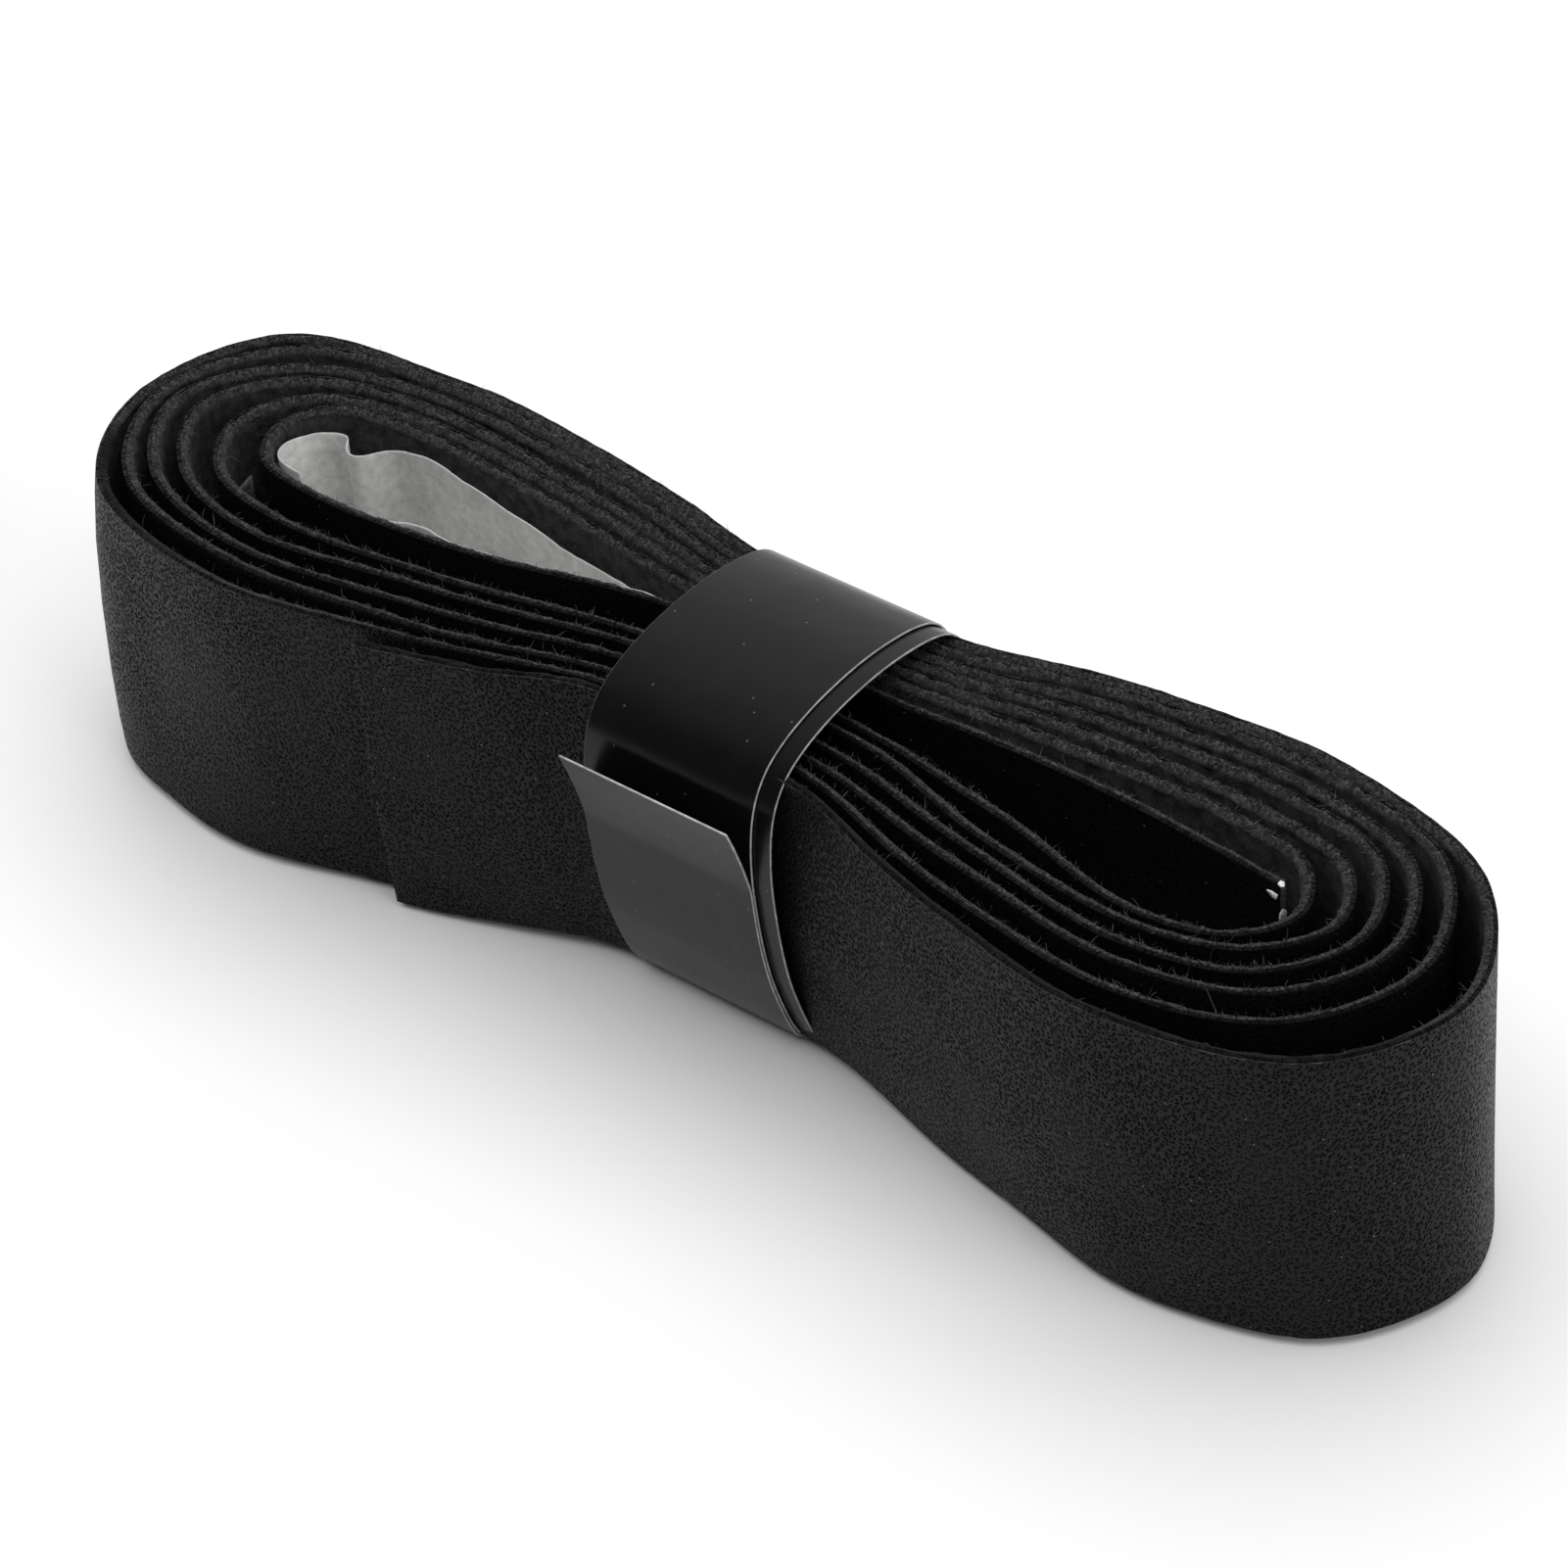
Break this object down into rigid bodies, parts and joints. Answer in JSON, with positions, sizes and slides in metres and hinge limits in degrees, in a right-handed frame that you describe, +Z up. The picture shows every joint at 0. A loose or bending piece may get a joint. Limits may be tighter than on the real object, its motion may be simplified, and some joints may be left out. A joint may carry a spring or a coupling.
{
  "type": "grip tape roll",
  "caption": "Soft racket grip strip wound flat on its edge into a long loop and held at the waist by a glossy finishing tape with a free pull tab.",
  "frame": {"origin": "on the resting plane, under the middle of the roll's box", "axes": "+X along the roll towards the inner free end's loop, +Y towards the far side from the pull tab, +Z up across the strip's width"},
  "size_m": [0.1196, 0.0304, 0.0281],
  "materials": {
    "strip_skin": "matte synthetic leather with a fine pebbled grain",
    "strip_backing": "fuzzy non-woven fibre",
    "adhesive": "tacky adhesive film",
    "liner_paper": "crumpled release paper",
    "tape_film": "glossy black film with pale cut edges"
  },
  "bodies": {
    "root": {"grip_strip_skin": "strip_skin", "grip_strip_backing": "strip_backing", "adhesive_patch": "adhesive", "release_liner": "liner_paper", "finishing_tape": "tape_film"},
    "inner_end": {"inner_end_skin": "strip_skin", "inner_end_backing": "strip_backing"},
    "outer_tail": {"outer_tail_skin": "strip_skin", "outer_tail_backing": "strip_backing"},
    "pull_tab": {"pull_tab": "tape_film"}
  },
  "joints": [
    {"name": "tail_peel", "type": "hinge", "parent": "root", "child": "outer_tail", "pos_m": [-0.00828, -0.00935, 0.013], "axis": [0, 0, 1], "range_deg": [0, 80], "stiffness_Nm_per_rad": 0.0015},
    {"name": "inner_end_flex", "type": "hinge", "parent": "root", "child": "inner_end", "pos_m": [0.0109, 0.0029, 0.013], "axis": [0, 0, 1], "range_deg": [-7, 1.5], "stiffness_Nm_per_rad": 0.001},
    {"name": "tab_peel", "type": "hinge", "parent": "root", "child": "pull_tab", "pos_m": [0.0008, -0.011, 0.01675], "axis": [1, 0, 0], "range_deg": [-12, 100], "stiffness_Nm_per_rad": 0.0001}
  ]
}
